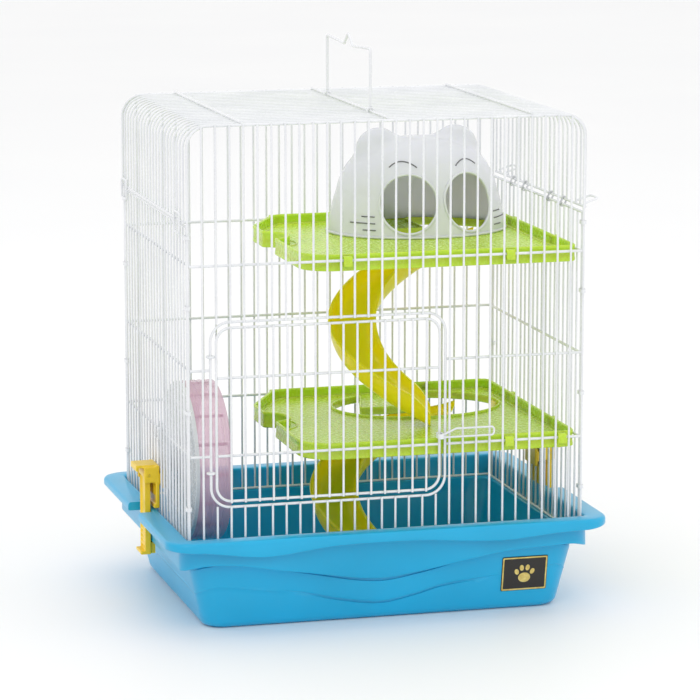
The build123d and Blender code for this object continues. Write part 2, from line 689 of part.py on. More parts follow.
save("wheel_track", [wheel_track()])
save("wheel_treads", wheel_treads())
save("wheel_axle", [wheel_axle()])
save("wheel_bracket", [wheel_bracket()])
save("wheel_cap", [wheel_cap()])
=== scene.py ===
from math import atan2, cos, pi, radians, sin

import bmesh
import bpy
import numpy as np
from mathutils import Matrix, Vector
from mathutils.geometry import tessellate_polygon


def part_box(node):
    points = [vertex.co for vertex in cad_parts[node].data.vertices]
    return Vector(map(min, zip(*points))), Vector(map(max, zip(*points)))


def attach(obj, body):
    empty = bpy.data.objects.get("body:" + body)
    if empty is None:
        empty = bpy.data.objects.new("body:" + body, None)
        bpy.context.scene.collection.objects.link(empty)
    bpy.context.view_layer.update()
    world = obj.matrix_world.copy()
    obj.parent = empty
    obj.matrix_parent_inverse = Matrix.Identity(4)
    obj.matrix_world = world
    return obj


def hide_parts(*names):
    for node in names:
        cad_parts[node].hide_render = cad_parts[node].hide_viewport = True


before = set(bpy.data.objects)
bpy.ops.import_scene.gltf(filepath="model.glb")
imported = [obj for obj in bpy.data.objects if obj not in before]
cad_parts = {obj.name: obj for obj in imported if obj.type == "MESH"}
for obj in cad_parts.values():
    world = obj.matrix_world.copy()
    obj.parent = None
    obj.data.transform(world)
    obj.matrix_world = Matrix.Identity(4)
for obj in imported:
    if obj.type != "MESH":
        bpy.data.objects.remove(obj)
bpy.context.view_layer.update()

# Sizes are in millimetres and match the design; MM turns them into metres.
MM = 0.001
BAR = 1.8
FRAME_WIRE = 2.2
PITCH = 11.3
GAPS_X = 29
HALF_X = PITCH * GAPS_X / 2
HALF_Y = 122.65
CROSS = (BAR + FRAME_WIRE) / 2
SIDE_GAPS = 21
SIDE_END = HALF_Y - 6.0
LEVELS = (143.5, 213.1, 296.4)


# ---- materials ----------------------------------------------------------
class Nodes:
    """A material's node tree, with the shader and a few shortcuts."""

    def __init__(self, name):
        self.material = bpy.data.materials.new(name)
        self.material.use_nodes = True
        self.tree = self.material.node_tree
        self.shader = self.tree.nodes["Principled BSDF"]
        self.place = self.tree.nodes.new("ShaderNodeTexCoord").outputs["Object"]

    def add(self, kind, **settings):
        node = self.tree.nodes.new(kind)
        for key, value in settings.items():
            setattr(node, key, value)
        return node

    def link(self, output, target):
        self.tree.links.new(output, target)

    def noise(self, scale, detail=3.0, roughness=0.5):
        node = self.add("ShaderNodeTexNoise")
        node.inputs["Scale"].default_value = scale
        node.inputs["Detail"].default_value = detail
        node.inputs["Roughness"].default_value = roughness
        self.link(self.place, node.inputs["Vector"])
        return node.outputs["Fac"]

    def ramp(self, value, stops):
        node = self.add("ShaderNodeValToRGB")
        elements = node.color_ramp.elements
        while len(elements) < len(stops):
            elements.new(0.5)
        for element, (position, colour) in zip(elements, stops):
            element.position = position
            element.color = (*colour, 1.0)
        self.link(value, node.inputs["Fac"])
        return node.outputs["Color"]

    def spread(self, value, low, high):
        node = self.add("ShaderNodeMapRange")
        node.inputs["To Min"].default_value = low
        node.inputs["To Max"].default_value = high
        self.link(value, node.inputs["Value"])
        return node.outputs["Result"]

    def mix(self, factor, first, second):
        node = self.add("ShaderNodeMix", data_type="RGBA")
        self.link(factor, node.inputs["Factor"])
        self.link(first, node.inputs["A"])
        self.link(second, node.inputs["B"])
        return node.outputs["Result"]

    def bump(self, layers):
        """Stack height layers, each (height, strength, distance in metres)."""
        normal = None
        for height, strength, distance in layers:
            node = self.add("ShaderNodeBump")
            node.inputs["Strength"].default_value = strength
            node.inputs["Distance"].default_value = distance
            self.link(height, node.inputs["Height"])
            if normal:
                self.link(normal, node.inputs["Normal"])
            normal = node.outputs["Normal"]
        self.link(normal, self.shader.inputs["Normal"])

    def set(self, **values):
        for key, value in values.items():
            self.shader.inputs[key.replace("_", " ")].default_value = value


def tint(colour, factor):
    return tuple(min(1.0, c * factor) for c in colour)


def moulded(name, colour, gloss=0.25, variation=0.06, grain=0.00003, **settings):
    """Injection-moulded plastic: slow colour drift, flow marks, fine grain and scuffs."""
    mat = Nodes(name)
    drift = mat.noise(14.0, 2.0)
    flow = mat.noise(55.0, 5.0, 0.6)
    low = mat.ramp(drift, ((0.3, tint(colour, 1 - variation)), (0.7, tint(colour, 1 + variation))))
    high = mat.ramp(drift, ((0.3, tint(colour, 1 - 2 * variation)), (0.7, tint(colour, 1 + 0.5 * variation))))
    mat.link(mat.mix(mat.spread(flow, 0.0, 1.0), low, high), mat.shader.inputs["Base Color"])
    scuffs = mat.noise(320.0, 6.0, 0.65)
    mat.link(mat.spread(scuffs, gloss - 0.04, gloss + 0.06), mat.shader.inputs["Roughness"])
    mat.bump(((mat.noise(1500.0, 2.0), 0.15, grain), (mat.noise(9.0, 1.0), 0.05, 0.0008)))
    mat.set(**settings)
    return mat.material


def enamel():
    """White powder coat on wire: slight orange peel, thicker and creamier in places."""
    mat = Nodes("white_enamel")
    drift = mat.noise(30.0, 3.0)
    colour = mat.ramp(drift, ((0.3, (0.76, 0.775, 0.80)), (0.7, (0.84, 0.85, 0.87))))
    mat.link(colour, mat.shader.inputs["Base Color"])
    mat.link(mat.spread(mat.noise(500.0, 3.0), 0.18, 0.34), mat.shader.inputs["Roughness"])
    mat.bump(((mat.noise(900.0, 3.0), 0.5, 0.00006), (mat.noise(160.0, 2.0), 0.3, 0.0001)))
    mat.set(Coat_Weight=0.35, Coat_Roughness=0.12)
    return mat.material


def plated_steel():
    """Zinc plate: fine drawing lines and faint dull patches."""
    mat = Nodes("plated_steel")
    stretch = mat.add("ShaderNodeMapping")
    stretch.inputs["Scale"].default_value = (1.0, 1.0, 12.0)
    mat.link(mat.place, stretch.inputs["Vector"])
    lines = mat.noise(700.0, 4.0)
    mat.link(stretch.outputs["Vector"], lines.node.inputs["Vector"])
    patches = mat.noise(90.0, 4.0)
    colour = mat.ramp(patches, ((0.3, (0.52, 0.53, 0.55)), (0.75, (0.72, 0.73, 0.74))))
    mat.link(colour, mat.shader.inputs["Base Color"])
    mat.link(mat.spread(lines, 0.22, 0.5), mat.shader.inputs["Roughness"])
    mat.bump(((lines, 0.4, 0.00004),))
    mat.set(Metallic=1.0)
    return mat.material


def gold_print():
    mat = Nodes("gold_print")
    foil = mat.noise(260.0, 4.0)
    colour = mat.ramp(foil, ((0.3, (0.62, 0.43, 0.10)), (0.7, (0.90, 0.72, 0.26))))
    mat.link(colour, mat.shader.inputs["Base Color"])
    mat.link(mat.spread(foil, 0.25, 0.45), mat.shader.inputs["Roughness"])
    mat.set(Metallic=0.6)
    return mat.material


def floor_finish():
    mat = Nodes("studio_floor")
    drift = mat.noise(2.0, 2.0)
    colour = mat.ramp(drift, ((0.3, (0.93, 0.93, 0.935)), (0.7, (0.95, 0.95, 0.95))))
    mat.link(colour, mat.shader.inputs["Base Color"])
    mat.set(Roughness=0.55)
    return mat.material


ENAMEL = enamel()
STEEL = plated_steel()
GOLD = gold_print()
BLUE = moulded("tray_plastic", (0.0, 0.40, 0.70), 0.3, 0.05, Coat_Weight=0.15, Coat_Roughness=0.15)
GREEN = moulded("shelf_plastic", (0.56, 0.78, 0.05), 0.26, 0.07, Subsurface_Weight=0.45,
                Subsurface_Radius=(0.004, 0.006, 0.001), Subsurface_Scale=1.0, Alpha=0.93)
YELLOW = moulded("slide_plastic", (1.0, 0.72, 0.012), 0.28, 0.03, Subsurface_Weight=0.7,
                 Subsurface_Radius=(0.02, 0.012, 0.002), Subsurface_Scale=1.0)
LATCH_YELLOW = moulded("latch_plastic", (0.90, 0.62, 0.02), 0.28, 0.06)
PALE = moulded("house_plastic", (0.82, 0.83, 0.90), 0.24, 0.03, Subsurface_Weight=0.35,
               Subsurface_Radius=(0.004, 0.004, 0.005), Subsurface_Scale=1.0, Alpha=0.88)
DISC = moulded("wheel_plastic", (0.72, 0.74, 0.76), 0.26, 0.03, Subsurface_Weight=0.3,
               Subsurface_Radius=(0.004, 0.004, 0.004), Subsurface_Scale=1.0, Alpha=0.93)
PINK = moulded("track_plastic", (0.80, 0.55, 0.68), 0.25, 0.05, Alpha=0.62)
RUNG = moulded("tread_plastic", (0.45, 0.12, 0.28), 0.3, 0.05, Alpha=0.9)
INK = moulded("printed_grey", (0.16, 0.16, 0.18), 0.45, 0.1)
BADGE = moulded("badge_black", (0.02, 0.016, 0.012), 0.3, 0.1)


# ---- mesh helpers -------------------------------------------------------
def make_mesh(name, points, faces, sharp=38.0):
    """Mesh object from millimetre points, with outward normals and smooth shading."""
    mesh = bpy.data.meshes.new(name)
    mesh.from_pydata((np.asarray(points, float) * MM).tolist(), [], [tuple(map(int, f)) for f in faces])
    work = bmesh.new()
    work.from_mesh(mesh)
    bmesh.ops.remove_doubles(work, verts=work.verts, dist=1e-6)
    bmesh.ops.recalc_face_normals(work, faces=work.faces)
    work.to_mesh(mesh)
    work.free()
    mesh.shade_smooth()
    mesh.set_sharp_from_angle(angle=radians(sharp))
    obj = bpy.data.objects.new(name, mesh)
    bpy.context.scene.collection.objects.link(obj)
    return obj


def finish_piece(obj, material, body, slot, *replaced):
    obj.data.materials.clear()
    obj.data.materials.append(material)
    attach(obj, body)
    if replaced:
        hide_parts(*replaced)
    return obj


def grid_faces(rows, columns, wrap_rows=False, wrap_columns=False):
    r = np.arange(rows if wrap_rows else rows - 1)[:, None]
    c = np.arange(columns if wrap_columns else columns - 1)[None, :]
    r2, c2 = (r + 1) % rows, (c + 1) % columns
    quads = np.stack([r * columns + c, r * columns + c2, r2 * columns + c2, r2 * columns + c], axis=-1)
    return quads.reshape(-1, 4).tolist()


def merged(parts):
    """Several (points, faces) joined into one set."""
    points, faces, start = [], [], 0
    for part_points, part_faces in parts:
        part_points = np.asarray(part_points, float)
        points.append(part_points)
        faces += [[i + start for i in face] for face in part_faces]
        start += len(part_points)
    return np.concatenate(points), faces


def smooth_curve(stops, x):
    """Smooth curve through given (x, value) stops, level at both ends."""
    xs = np.array([s[0] for s in stops], float)
    ys = np.array([s[1] for s in stops], float)
    slopes = np.zeros_like(ys)
    slopes[1:-1] = (ys[2:] - ys[:-2]) / (xs[2:] - xs[:-2])
    x = np.clip(x, xs[0], xs[-1])
    i = np.clip(np.searchsorted(xs, x) - 1, 0, len(xs) - 2)
    h = xs[i + 1] - xs[i]
    t = (x - xs[i]) / h
    rise = (2 * t ** 3 - 3 * t ** 2 + 1) * ys[i] + (3 * t ** 2 - 2 * t ** 3) * ys[i + 1]
    return rise + (t ** 3 - 2 * t ** 2 + t) * h * slopes[i] + (t ** 3 - t ** 2) * h * slopes[i + 1]


def tube(path, radius, closed=False, sides=10):
    """Round bead along a path of points, with domed ends when open."""
    path = np.asarray(path, float)
    if closed:
        ahead, behind = np.roll(path, -1, 0), np.roll(path, 1, 0)
    else:
        ahead = np.vstack([path[1:], path[-1:]])
        behind = np.vstack([path[:1], path[:-1]])
    tangent = ahead - behind
    tangent /= np.linalg.norm(tangent, axis=1)[:, None]
    up = np.array([0.0, 0.0, 1.0])
    if abs(tangent[:, 2]).max() > 0.9:
        up = np.array([0.0, 1.0, 0.0]) if abs(tangent[:, 1]).max() < 0.9 else np.array([1.0, 0.2, 0.1])
    across = np.cross(tangent, up)
    across /= np.linalg.norm(across, axis=1)[:, None]
    over = np.cross(across, tangent)
    angles = np.arange(sides) * 2 * pi / sides
    ring = np.cos(angles)[None, :, None] * across[:, None] + np.sin(angles)[None, :, None] * over[:, None]
    radii = np.full(len(path), float(radius))
    points = path[:, None] + ring * radii[:, None, None]
    faces = grid_faces(len(path), sides, closed, True)
    points = points.reshape(-1, 3)
    if not closed:
        tips = np.array([path[0] - tangent[0] * radius * 0.6, path[-1] + tangent[-1] * radius * 0.6])
        first, last = len(points), len(points) + 1
        points = np.vstack([points, tips])
        base = (len(path) - 1) * sides
        faces += [(first, (i + 1) % sides, i) for i in range(sides)]
        faces += [(last, base + i, base + (i + 1) % sides) for i in range(sides)]
    return points, faces


def lathe(profile, centre, steps=96):
    """Closed (along, radius) profile turned round an X axis through centre (y, z)."""
    profile = np.asarray(profile, float)
    angles = np.arange(steps) * 2 * pi / steps
    x = np.repeat(profile[:, 0][:, None], steps, 1)
    y = centre[0] + profile[:, 1][:, None] * np.cos(angles)
    z = centre[1] + profile[:, 1][:, None] * np.sin(angles)
    return np.stack([x, y, z], -1).reshape(-1, 3), grid_faces(len(profile), steps, True, True)


def block(x, y, z):
    """Closed box between two limits on each axis."""
    points = [(i, j, k) for i in x for j in y for k in z]
    faces = [(0, 1, 3, 2), (4, 6, 7, 5), (0, 4, 5, 1), (2, 3, 7, 6), (0, 2, 6, 4), (1, 5, 7, 3)]
    return np.array(points, float), faces


def fused(obj, voxel, passes=3):
    """Melt overlapping solids into one moulded body with rounded edges."""
    remesh = obj.modifiers.new("melt", "REMESH")
    remesh.mode = "VOXEL"
    remesh.voxel_size = voxel * MM
    remesh.use_smooth_shade = True
    soften = obj.modifiers.new("soften", "SMOOTH")
    soften.factor = 0.5
    soften.iterations = passes
    return obj


def arc_corner(before, corner, after, radius, steps=8):
    """Points of the arc that rounds one corner of an outline."""
    before, corner, after = (np.array(p, float) for p in (before, corner, after))
    into = (corner - before) / np.linalg.norm(corner - before)
    out = (after - corner) / np.linalg.norm(after - corner)
    turn = np.arccos(np.clip(into @ out, -1, 1))
    reach = radius * np.tan(turn / 2)
    start, end = corner - into * reach, corner + out * reach
    t = np.linspace(0, 1, steps + 1)[:, None]
    centre = corner + (out - into) / np.linalg.norm(out - into) * radius / np.cos(turn / 2)
    a, b = start - centre, end - centre
    arc = (np.sin((1 - t) * turn) * a + np.sin(t * turn) * b) / np.sin(turn)
    return centre + arc


def rounded(corners, radii):
    """Closed outline with each corner rounded by its own radius."""
    count = len(corners)
    pieces = []
    for i, corner in enumerate(corners):
        if radii[i] == 0:
            pieces.append(np.array([corner], float))
        else:
            pieces.append(arc_corner(corners[i - 1], corner, corners[(i + 1) % count], radii[i]))
    return np.concatenate(pieces)


def resampled(outline, spacing):
    """Closed outline with points at an even spacing."""
    closed = np.vstack([outline, outline[:1]])
    lengths = np.linalg.norm(np.diff(closed, axis=0), axis=1)
    travel = np.concatenate([[0], np.cumsum(lengths)])
    marks = np.linspace(0, travel[-1], int(travel[-1] / spacing), endpoint=False)
    return np.stack([np.interp(marks, travel, closed[:, k]) for k in range(2)], -1)


def softened(outline, passes):
    for _ in range(passes):
        outline = (np.roll(outline, 1, 0) + 2 * outline + np.roll(outline, -1, 0)) / 4
    return outline


def area_of(outline):
    x, y = outline[:, 0], outline[:, 1]
    return 0.5 * np.sum(x * np.roll(y, -1) - np.roll(x, -1) * y)


def outward(outline):
    """Unit normals that point away from the inside of a closed outline."""
    along = np.roll(outline, -1, 0) - np.roll(outline, 1, 0)
    along /= np.linalg.norm(along, axis=1)[:, None]
    normal = np.stack([along[:, 1], -along[:, 0]], -1)
    return normal if area_of(outline) > 0 else -normal


def ribbon(outline, profile):
    """Closed section of (inset, height) corners carried round a closed outline."""
    normal = outward(outline)
    rows = []
    for inset, height in profile:
        rows.append(np.column_stack([outline - normal * inset, np.full(len(outline), height)]))
    return np.concatenate(rows), grid_faces(len(profile), len(outline), True, True)


def plate(outline, holes, low, high, round_edge=0.3):
    """Flat plate with holes and slightly rounded edges."""
    loops = [outline] + list(holes)
    levels = ((round_edge, low), (0.0, low + round_edge), (0.0, high - round_edge), (round_edge, high))
    points, faces, offset, caps = [], [], 0, {0: [], len(levels) - 1: []}
    for loop_index, loop in enumerate(loops):
        normal = outward(loop) * (1 if loop_index == 0 else -1)
        for level, (inset, height) in enumerate(levels):
            points.append(np.column_stack([loop - normal * inset, np.full(len(loop), height)]))
            if level in caps:
                caps[level].append(np.arange(len(loop)) + offset + level * len(loop))
        faces += [[i + offset for i in face] for face in grid_faces(len(levels), len(loop), False, True)]
        offset += len(levels) * len(loop)
    points = np.concatenate(points)
    for indices in caps.values():
        flat = np.concatenate(indices)
        for triangle in tessellate_polygon([[Vector((*points[i][:2], 0)) for i in loop] for loop in indices]):
            faces.append([flat[k] for k in triangle])
    return points, faces


# ---- tray ---------------------------------------------------------------
TRAY_FOOT = (150.5, 113.0, 16.0)
TRAY_BODY = (161.0, 121.0, 20.0)
TRAY_BAND = (171.0, 131.0, 22.0)
TRAY_RIM = (184.5, 141.0, 20.0)
TRAY_INNER = (166.2, 125.2, 4.0)
FOOT_Z = 6.0
BAND_Z = 50.5
SIDE_SKIRT_Z = 71.0
RIM_Z = 78.0
NOTCH_HALF = 20.0
NOTCH_X = 171.4
NOTCH_STRETCH = 30.0
NOTCH_PART = 0.3
FLANGE_EDGE = ((-190, 70.4), (-138, 69.6), (-91, 63.6), (-42, 68.9),
               (18, 69.2), (78, 64.8), (122, 68.2), (190, 70.2))
BAND_EDGE = ((-178, 56.3), (-122, 55.6), (-70, 46.0), (-10, 35.6),
             (28, 40.2), (80, 51.8), (130, 55.6), (178, 57.0))
LOW_EDGE = ((-160, 38.0), (-77, 28.0), (-40, 19.5), (-5, 14.8),
            (22, 19.0), (50, 26.0), (93, 30.5), (160, 40.0))
GROOVE = 2.6
LOW_STEP = ((-100, 0.0), (-70, 0.5), (-10, 1.9), (40, 1.4), (80, 0.5), (108, 0.0))


def side_stations(count):
    """Even steps along one side, from its first end up to but not at its last."""
    return np.linspace(-1, 1, count, endpoint=False)


def notched_stations():
    """Steps along a short side, with close pairs at the edges of the latch notch."""
    edge = NOTCH_HALF / NOTCH_STRETCH * NOTCH_PART
    near = np.array([edge - 0.0008, edge + 0.0008, 0.24, 0.27, NOTCH_PART])
    half = np.concatenate([np.linspace(0.0, edge * 0.92, 6)[1:], near, np.linspace(NOTCH_PART, 1.0, 18)[1:]])
    return np.concatenate([-half[::-1], [0.0], half[:-1]])


def tray_columns():
    """Side number, step along the side and turn angle of every column of the tray's skin."""
    side, step, turn = [], [], []
    corner = np.linspace(0, pi / 2, 16, endpoint=False)
    for k in range(4):
        steps = side_stations(180 if k == 0 else 60) if k % 2 == 0 else notched_stations()
        side += [k] * (len(steps) + len(corner))
        step += list(steps) + [1.0] * len(corner)
        turn += [0.0] * len(steps) + list(corner)
    return np.array(side), np.array(step), np.array(turn)


SIDE, STEP, TURN = tray_columns()


def tray_ring(half_x, half_y, radius, z):
    """One ring of the tray's skin round a rounded rectangle; sizes may differ by column."""
    lengthwise = SIDE % 2 == 0
    along = np.where(lengthwise, half_x, half_y) - radius
    out = np.where(lengthwise, half_y, half_x) - radius
    near = np.abs(STEP) < NOTCH_PART
    centre_part = STEP / NOTCH_PART * NOTCH_STRETCH
    past_notch = (np.abs(STEP) - NOTCH_PART) / (1 - NOTCH_PART)
    outer_part = np.sign(STEP) * (NOTCH_STRETCH + past_notch * (along - NOTCH_STRETCH))
    notched = np.where(near, centre_part, outer_part)
    u = np.where(lengthwise, STEP * along, notched)
    across = u + radius * np.sin(TURN)
    depth = -out - radius * np.cos(TURN)
    quarter = SIDE * pi / 2
    x = across * np.cos(quarter) - depth * np.sin(quarter)
    y = across * np.sin(quarter) + depth * np.cos(quarter)
    at_latch = (~lengthwise) & (TURN == 0) & (np.abs(y) < NOTCH_HALF)
    x = np.where(at_latch, np.clip(x, -NOTCH_X, NOTCH_X), x)
    return np.column_stack([x, y, np.broadcast_to(z, x.shape)])


def blend_half(first, second, t):
    return [a + (b - a) * t for a, b in zip(first, second)]


def body_half(z):
    """Half sizes and corner radius of the sloping wall at a height."""
    return blend_half(TRAY_FOOT, TRAY_BODY, np.clip((z - FOOT_Z) / (BAND_Z - FOOT_Z), 0, 1))


def grown(half, amount):
    return [half[0] + amount, half[1] + amount, half[2]]


def tray_outside():
    """Rings from under the foot, up the wave-edged front, to the rim's outer top edge."""
    base = tray_ring(*TRAY_BODY, 0.0)
    facing = np.where(SIDE % 2 == 0, np.cos(TURN), np.sin(TURN)) ** 2
    front = np.where((SIDE == 0) | ((SIDE == 3) & (TURN > 0)), facing, 0.0)
    flange = SIDE_SKIRT_Z + front * (smooth_curve(FLANGE_EDGE, base[:, 0]) - SIDE_SKIRT_Z)
    band = BAND_Z + front * (smooth_curve(BAND_EDGE, base[:, 0]) - BAND_Z)
    low = 30.0 + front * (smooth_curve(LOW_EDGE, base[:, 0]) - 30.0)
    low_step = front * smooth_curve(LOW_STEP, base[:, 0])
    band_step = np.clip(3.6 + 6.4 * (band - 36.0) / (BAND_Z - 36.0), 3.6, 10.0)
    rings = []
    for inset, radius, z in ((22, 10, 1.4), (20, 11, 1.2), (19, 12, 0.0)):
        rings.append(tray_ring(TRAY_FOOT[0] - inset, TRAY_FOOT[1] - inset, radius, z))
    for inset, z in ((6.5, 0.0), (4.0, 0.5), (1.8, 2.0), (0.6, 3.8)):
        rings.append(tray_ring(*grown(TRAY_FOOT, -inset), z))
    for t in np.linspace(0, 1, 9):
        z = FOOT_Z + (low - 1.8 - FOOT_Z) * t
        rings.append(tray_ring(*body_half(z), z))
    dent = 1.2 * front * np.clip(smooth_curve(LOW_STEP, base[:, 0]), 0, 1)
    for inset, lift in ((0.9, -1.5), (1.0, -0.2)):
        rings.append(tray_ring(*grown(body_half(low), -inset * dent), low + lift))
    for part, lift in ((0.45, 0.1), (0.85, 0.45), (1.0, 1.1)):
        z = low + lift
        rings.append(tray_ring(*grown(body_half(z), low_step * part), z))
    for t in np.linspace(0, 1, 10)[1:]:
        z = low + 1.1 + (band - GROOVE - low - 1.1) * t
        rings.append(tray_ring(*grown(body_half(z), low_step), z))
    for deep, lift in ((1.3, 0.15), (1.6, 0.6), (1.6, GROOVE - 0.3)):
        z = band - GROOVE + lift
        rings.append(tray_ring(*grown(body_half(z), low_step - deep * front), z))
    for back, lift in ((0.9, -0.1), (0.3, 0.15), (0.0, 0.8)):
        z = band + lift
        rings.append(tray_ring(*grown(body_half(band), band_step - back), z))
    band_top = flange + 1.5
    for t in np.linspace(0, 1, 8)[1:]:
        z = band + 0.8 + (band_top - band - 0.8) * t
        start = grown(body_half(band), band_step)
        rings.append(tray_ring(*blend_half(start, TRAY_BAND, t ** 0.8), z))
    rings.append(tray_ring(*TRAY_BAND, RIM_Z - 2.4))
    rings.append(tray_ring(*grown(TRAY_RIM, -2.3), RIM_Z - 2.2))
    for inset, lift in ((2.2, 1.6), (1.9, 0.5), (1.1, 0.0), (0.35, 0.35), (0.0, 1.2)):
        rings.append(tray_ring(*grown(TRAY_RIM, -inset), flange + lift))
    for inset, drop in ((0.0, 2.8), (0.3, 1.5), (1.0, 0.5), (2.2, 0.0)):
        rings.append(tray_ring(*grown(TRAY_RIM, -inset), RIM_Z - drop))
    return rings


def tray_inside():
    """Rings from the rim's top, over the ledge and down to the middle of the floor."""
    rings = []
    for grow, drop in ((6.0, 0.0), (2.0, 0.0), (0.9, 0.3), (0.2, 1.1), (0.0, 2.6)):
        rings.append(tray_ring(*grown(TRAY_INNER, grow), RIM_Z - drop))
    for inset, z in ((0.0, 61.4), (0.4, 60.4), (1.4, 60.0)):
        rings.append(tray_ring(*grown(TRAY_INNER, -inset), z))
    wall = 2.2
    for inset, z in ((wall - 0.8, 60.0), (wall - 0.2, 59.6), (wall, 58.6), (wall, BAND_Z)):
        rings.append(tray_ring(TRAY_BODY[0] - inset, TRAY_BODY[1] - inset, 18.0, z))
    for t in np.linspace(1, 0, 9)[1:]:
        z = 8.2 + (BAND_Z - 8.2) * t
        rings.append(tray_ring(*grown(body_half(z - 2.2), -wall), z))
    for inset, z in ((4.0, 4.2), (6.4, 2.7), (9.0, 2.2), (24.0, 2.2), (25.5, 2.9), (27.0, 3.1), (60.0, 3.1)):
        rings.append(tray_ring(TRAY_FOOT[0] - inset, TRAY_FOOT[1] - inset, 14.0, z))
    return rings


def tray():
    rings = tray_outside() + tray_inside()
    columns = len(SIDE)
    faces = grid_faces(len(rings), columns, False, True)
    faces.append(list(range(columns))[::-1])
    faces.append([(len(rings) - 1) * columns + i for i in range(columns)])
    obj = make_mesh("tray_shell", np.concatenate(rings), faces, 50.0)
    finish_piece(obj, BLUE, "cage", "tray_blue", "tray")


# ---- badge --------------------------------------------------------------
def on_badge(points):
    """Lay drawing coordinates (x right, y up, z out) on the badge's sloping plane."""
    low, high = (np.array(corner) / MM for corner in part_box("badge_plate"))
    rise, run = BAND_Z - FOOT_Z, TRAY_BODY[1] - TRAY_FOOT[1]
    length = (rise ** 2 + run ** 2) ** 0.5
    up = np.array([0, -run, rise]) / length
    out = np.array([0, -rise, -run]) / length
    back = np.array([(low[0] + high[0]) / 2, 0, (low[2] + high[2]) / 2])
    back[1] = -(TRAY_FOOT[1] + run * (back[2] - FOOT_Z) / rise) - 0.1
    points = np.asarray(points, float)
    return back + points[:, :1] * [1, 0, 0] + points[:, 1:2] * up + points[:, 2:] * out


def lozenge(width, height, radius):
    x, y = width / 2, height / 2
    return rounded([(-x, -y), (x, -y), (x, y), (-x, y)], [radius] * 4)


def ellipse(centre, half, turn=0.0, count=40):
    angles = np.arange(count) * 2 * pi / count
    x, y = half[0] * np.cos(angles), half[1] * np.sin(angles)
    c, s = cos(radians(turn)), sin(radians(turn))
    return np.column_stack([centre[0] + x * c - y * s, centre[1] + x * s + y * c])


def badge():
    base = plate(lozenge(39, 30, 1.2), [], 0.0, 0.6, 0.2)
    obj = make_mesh("badge", on_badge(base[0]), base[1])
    finish_piece(obj, BADGE, "cage", "badge", "badge_plate")
    marks = [plate(lozenge(38, 29, 1.0), [lozenge(35.6, 26.6, 0.6)], 0.55, 0.9, 0.1)]
    marks.append(plate(ellipse((0, -3.6), (5.2, 4.2)), [], 0.55, 0.85, 0.1))
    for x, y, turn in ((-6.6, 1.6, 24), (-2.5, 5.0, 8), (2.5, 5.0, -8), (6.6, 1.6, -24)):
        marks.append(plate(ellipse((x, y), (1.8, 2.6), turn), [], 0.55, 0.85, 0.1))
    points, faces = merged(marks)
    obj = make_mesh("badge_border_and_paw", on_badge(points), faces)
    finish_piece(obj, GOLD, "cage", "badge")


# ---- shelves ------------------------------------------------------------
SHELF_X = (-68.0, 160.2)
SHELF_Y = 118.3
SHELF_HEIGHT = 13.5
SHELF_DROP = 8.8
FLOOR_LIFT = 4.0
SHELF_CUT = (-36.0, 58.0)
SHELF_CORNERS = (26.0, 8.0, 8.0, 16.0, 16.0)
BITE = (-72.0, 2.0, 20.0)
HOLE_CENTRE = (74.0, 52.0)
HOLE_HALF = (72.0, 55.5)
TONGUE = ((80.0, 44.5), (22.0, 44.5))
TONGUE_SLANT = (42.0, 118.3)


def shelf_outline():
    """Shelf seen from above: cut-back left rear corner and a bite in the left edge."""
    x0, x1 = SHELF_X
    bite_x, bite_y, bite_r = BITE
    reach = (bite_r ** 2 - (x0 - bite_x) ** 2) ** 0.5
    span = atan2(reach, x0 - bite_x)
    bite = [(bite_x + bite_r * cos(a), bite_y + bite_r * sin(a)) for a in np.linspace(span, -span, 30)]
    cut_x, cut_y = SHELF_CUT
    corners = [(x0, -SHELF_Y), (x1, -SHELF_Y), (x1, SHELF_Y), (cut_x, SHELF_Y), (x0, cut_y)]
    outline = np.vstack([rounded(corners, SHELF_CORNERS), bite])
    return softened(resampled(outline, 1.5), 3)


def hole_outline():
    """Oval opening under the house, less the tongue that reaches in from the back."""
    (right, front), (left, _) = TONGUE
    angles = np.linspace(0, 2 * pi, 720)
    oval_x = HOLE_CENTRE[0] + HOLE_HALF[0] * np.cos(angles)
    oval_y = HOLE_CENTRE[1] + HOLE_HALF[1] * np.sin(angles)
    oval = np.column_stack([oval_x, oval_y])
    slant_x, slant_y = TONGUE_SLANT
    left_edge = left + (oval[:, 1] - front) / (slant_y - front) * (slant_x - left)
    in_tongue = (oval[:, 1] > front) & (oval[:, 0] < right) & (oval[:, 0] > left_edge)
    first = np.nonzero(in_tongue)[0].max() + 1
    open_part = np.roll(oval, -first, 0)[:len(oval) - in_tongue.sum()]
    tongue = [arc_corner(open_part[-1], TONGUE[0], TONGUE[1], 5)]
    tongue.append(arc_corner(TONGUE[0], TONGUE[1], open_part[0], 5))
    return softened(resampled(np.vstack([open_part, *tongue]), 1.5), 3)


def shelf_ribs(z):
    """Stiffening ribs under the floor, kept clear of the oval opening."""
    ribs = []
    height = (z + 1.2, z + FLOOR_LIFT + 0.3)
    for x, end in ((-42, -26), (-20, SHELF_Y - 2), (-4, SHELF_Y - 2)):
        ribs.append(block((x - 0.7, x + 0.7), (-SHELF_Y + 2, end), height))
    for y, start in ((-92, -50), (-66, -60), (-36, -60)):
        ribs.append(block((start, SHELF_X[1] - 2), (y - 0.7, y + 0.7), height))
    return ribs


